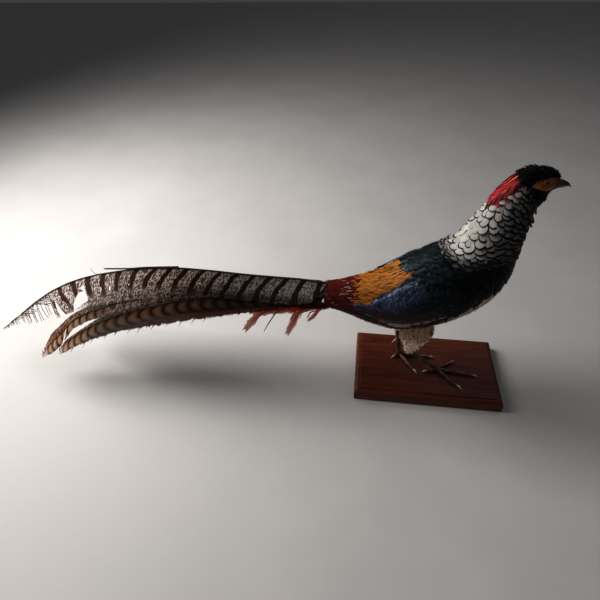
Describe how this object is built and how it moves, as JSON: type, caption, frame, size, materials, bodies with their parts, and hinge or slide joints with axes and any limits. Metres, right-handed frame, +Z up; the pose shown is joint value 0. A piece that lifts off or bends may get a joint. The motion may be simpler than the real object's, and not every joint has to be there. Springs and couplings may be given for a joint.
{
  "type": "taxidermy pheasant",
  "caption": "Mounted pheasant cock with a white and black ruff, red crest and long barred tail, walking on a moulded wooden base board.",
  "frame": {"origin": "centre of the base board's underside", "axes": "+X along the board's long side, the way the bird faces; +Y to the bird's left; +Z up"},
  "size_m": [1.0062, 0.1789, 0.4403],
  "materials": {
    "mahogany": "varnished, satin to gloss",
    "green_black_plumage": "feathers, green-black with a soft sheen",
    "golden_plumage": "feathers, golden yellow with dark flecks",
    "red_plumage": "feathers, deep red",
    "white_black_plumage": "feathers, white edged with blue-black",
    "head_plumage": "short feathers, dark crown and throat, orange bare face",
    "horn": "horn, satin",
    "glass_eye": "glass eye, orange iris and black pupil",
    "blue_plumage": "feathers, dark blue with a metallic sheen",
    "grey_barred_feather": "long feathers, silver grey with dark bars",
    "brown_barred_feather": "long feathers, brown with curved black bars",
    "orange_plume": "narrow feathers, orange-red",
    "pale_down": "short down, cream white",
    "claw_horn": "horn, pale",
    "leg_scales": "scaled skin, dark brown, dry"
  },
  "bodies": {
    "root": {"bill_lower": "horn", "bill_upper": "horn", "cape": "white_black_plumage", "claw_hind_left": "claw_horn", "claw_hind_right": "claw_horn", "claw_inner_left": "claw_horn", "claw_inner_right": "claw_horn", "claw_middle_left": "claw_horn", "claw_middle_right": "claw_horn", "claw_outer_left": "claw_horn", "claw_outer_right": "claw_horn", "crest": "red_plumage", "eye_left": "glass_eye", "eye_right": "glass_eye", "foot_left": "leg_scales", "foot_right": "leg_scales", "head": "head_plumage", "mount_base": "mahogany", "neck": "white_black_plumage", "plume_long_left": "orange_plume", "plume_long_right": "orange_plume", "plume_middle_left": "orange_plume", "plume_middle_right": "orange_plume", "plume_short_left": "orange_plume", "plume_short_right": "orange_plume", "rump": "golden_plumage", "spur_left": "claw_horn", "spur_right": "claw_horn", "tail_central_left": "grey_barred_feather", "tail_central_right": "grey_barred_feather", "tail_coverts": "red_plumage", "tail_fourth_left": "brown_barred_feather", "tail_fourth_right": "brown_barred_feather", "tail_second_left": "brown_barred_feather", "tail_second_right": "brown_barred_feather", "tail_third_left": "brown_barred_feather", "tail_third_right": "brown_barred_feather", "thigh_left": "pale_down", "thigh_right": "pale_down", "trunk": "green_black_plumage", "wing_left": "blue_plumage", "wing_right": "blue_plumage"}
  },
  "joints": []
}
